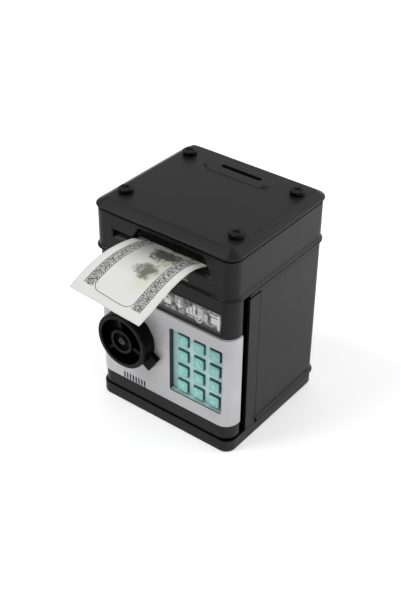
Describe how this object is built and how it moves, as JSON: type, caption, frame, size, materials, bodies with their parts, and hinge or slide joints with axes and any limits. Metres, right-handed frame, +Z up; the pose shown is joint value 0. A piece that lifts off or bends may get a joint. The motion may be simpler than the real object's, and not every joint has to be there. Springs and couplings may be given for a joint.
{
  "type": "toy atm savings bank",
  "caption": "Toy cash-machine coin and note bank: a plastic safe with a hinged keypad door and dial, and a head with a powered note slot and a coin slot in its lid.",
  "frame": {"origin": "underside of the moulded pad at the centre of the case's footprint, level with the feet", "axes": "+Z up, -Y to the front where the door is, +X to the right as seen from the front"},
  "size_m": [0.141, 0.1995, 0.196],
  "materials": {
    "black_plastic": "moulded, satin gloss",
    "deep_black_plastic": "moulded, gloss",
    "silver_plastic": "silver paint on plastic, satin",
    "teal_keys": "moulded, satin",
    "pale_teal_plastic": "moulded, matt",
    "printed_label": "printed film",
    "note_paper": "printed paper",
    "rubber": "matt",
    "nylon": "moulded, satin",
    "circuit_board": "solder mask",
    "steel": "bright zinc",
    "black_steel": "black zinc",
    "plated_metal": "plated",
    "cell_wrap": "shrink film"
  },
  "bodies": {
    "case": {"base_tray": "black_plastic", "battery_cover": "black_plastic", "battery_screw": "steel", "battery_cell_1": "cell_wrap", "battery_cell_2": "cell_wrap", "battery_cell_3": "cell_wrap", "body_shell": "black_plastic", "head_shell": "black_plastic", "top_cover": "black_plastic", "coin_chute": "black_plastic", "divider_floor": "black_plastic", "slot_throat": "black_plastic", "cover_screw_1": "deep_black_plastic", "cover_screw_2": "deep_black_plastic", "cover_screw_3": "deep_black_plastic", "cover_screw_4": "deep_black_plastic", "foot_1": "rubber", "foot_2": "rubber", "foot_3": "rubber", "foot_4": "rubber", "feed_chassis": "plated_metal", "feed_motor": "plated_metal", "bill_sensor": "deep_black_plastic", "main_board": "circuit_board", "hinge_pin_bottom": "steel", "hinge_pin_top": "steel"},
    "door": {"door_shell": "black_plastic", "silver_panel": "silver_plastic", "label_strip": "printed_label", "keypad_bezel": "pale_teal_plastic", "keypad_board": "circuit_board", "speaker": "plated_metal", "lock_solenoid": "plated_metal", "door_back_cover": "black_plastic"},
    "drive_roller": {"drive_shaft": "steel", "drive_roller_left": "rubber", "drive_roller_right": "rubber", "drive_gear": "nylon"},
    "idler_roller": {"idler_shaft": "steel", "idler_roller_left": "rubber", "idler_roller_right": "rubber"},
    "counter_gear": {"counter_gear": "nylon"},
    "motor_pinion": {"motor_pinion": "nylon"},
    "note": {"bank_note": "note_paper"},
    "knob": {"dial_knob": "deep_black_plastic", "knob_screw": "black_steel", "latch_crank": "nylon"},
    "latch": {"latch_bolt": "steel"},
    "key_1": {"key_1": "teal_keys"},
    "key_2": {"key_2": "teal_keys"},
    "key_3": {"key_3": "teal_keys"},
    "key_4": {"key_4": "teal_keys"},
    "key_5": {"key_5": "teal_keys"},
    "key_6": {"key_6": "teal_keys"},
    "key_7": {"key_7": "teal_keys"},
    "key_8": {"key_8": "teal_keys"},
    "key_9": {"key_9": "teal_keys"},
    "key_star": {"key_star": "teal_keys"},
    "key_0": {"key_0": "teal_keys"},
    "key_hash": {"key_hash": "teal_keys"}
  },
  "joints": [
    {"name": "door_hinge", "type": "hinge", "parent": "case", "child": "door", "pos_m": [0.0565, -0.051, 0.082], "axis": [0, 0, 1], "range_deg": [0, 105]},
    {"name": "knob_turn", "type": "hinge", "parent": "door", "child": "knob", "pos_m": [-0.0325, -0.063, 0.0755], "axis": [0, -1, 0], "range_deg": [0, 75]},
    {"name": "latch_slide", "type": "slide", "parent": "door", "child": "latch", "axis": [-1, 0, 0], "range_m": [0, 0.008]},
    {"name": "note_slide", "type": "slide", "parent": "case", "child": "note", "axis": [0, -1, 0], "range_m": [0, 0.075]},
    {"name": "drive_roller_spin", "type": "hinge", "parent": "case", "child": "drive_roller", "pos_m": [0, -0.044, 0.16205], "axis": [1, 0, 0], "continuous": true},
    {"name": "idler_roller_spin", "type": "hinge", "parent": "case", "child": "idler_roller", "pos_m": [0, -0.044, 0.17305], "axis": [1, 0, 0], "continuous": true},
    {"name": "counter_gear_spin", "type": "hinge", "parent": "case", "child": "counter_gear", "pos_m": [-0.043, -0.0297, 0.1637], "axis": [1, 0, 0], "continuous": true},
    {"name": "motor_pinion_spin", "type": "hinge", "parent": "case", "child": "motor_pinion", "pos_m": [-0.043, -0.01525, 0.159], "axis": [1, 0, 0], "continuous": true},
    {"name": "key_1_press", "type": "slide", "parent": "door", "child": "key_1", "axis": [0, 1, 0], "range_m": [0, 0.0012], "stiffness_N_per_m": 400},
    {"name": "key_2_press", "type": "slide", "parent": "door", "child": "key_2", "axis": [0, 1, 0], "range_m": [0, 0.0012], "stiffness_N_per_m": 400},
    {"name": "key_3_press", "type": "slide", "parent": "door", "child": "key_3", "axis": [0, 1, 0], "range_m": [0, 0.0012], "stiffness_N_per_m": 400},
    {"name": "key_4_press", "type": "slide", "parent": "door", "child": "key_4", "axis": [0, 1, 0], "range_m": [0, 0.0012], "stiffness_N_per_m": 400},
    {"name": "key_5_press", "type": "slide", "parent": "door", "child": "key_5", "axis": [0, 1, 0], "range_m": [0, 0.0012], "stiffness_N_per_m": 400},
    {"name": "key_6_press", "type": "slide", "parent": "door", "child": "key_6", "axis": [0, 1, 0], "range_m": [0, 0.0012], "stiffness_N_per_m": 400},
    {"name": "key_7_press", "type": "slide", "parent": "door", "child": "key_7", "axis": [0, 1, 0], "range_m": [0, 0.0012], "stiffness_N_per_m": 400},
    {"name": "key_8_press", "type": "slide", "parent": "door", "child": "key_8", "axis": [0, 1, 0], "range_m": [0, 0.0012], "stiffness_N_per_m": 400},
    {"name": "key_9_press", "type": "slide", "parent": "door", "child": "key_9", "axis": [0, 1, 0], "range_m": [0, 0.0012], "stiffness_N_per_m": 400},
    {"name": "key_star_press", "type": "slide", "parent": "door", "child": "key_star", "axis": [0, 1, 0], "range_m": [0, 0.0012], "stiffness_N_per_m": 400},
    {"name": "key_0_press", "type": "slide", "parent": "door", "child": "key_0", "axis": [0, 1, 0], "range_m": [0, 0.0012], "stiffness_N_per_m": 400},
    {"name": "key_hash_press", "type": "slide", "parent": "door", "child": "key_hash", "axis": [0, 1, 0], "range_m": [0, 0.0012], "stiffness_N_per_m": 400}
  ],
  "couplings": [
    {"joint": "latch_slide", "follows": "knob_turn", "m_per_rad": 0.006046},
    {"joint": "idler_roller_spin", "follows": "drive_roller_spin", "ratio": -1.3333},
    {"joint": "counter_gear_spin", "follows": "drive_roller_spin", "ratio": -2},
    {"joint": "motor_pinion_spin", "follows": "drive_roller_spin", "ratio": 5.6}
  ]
}
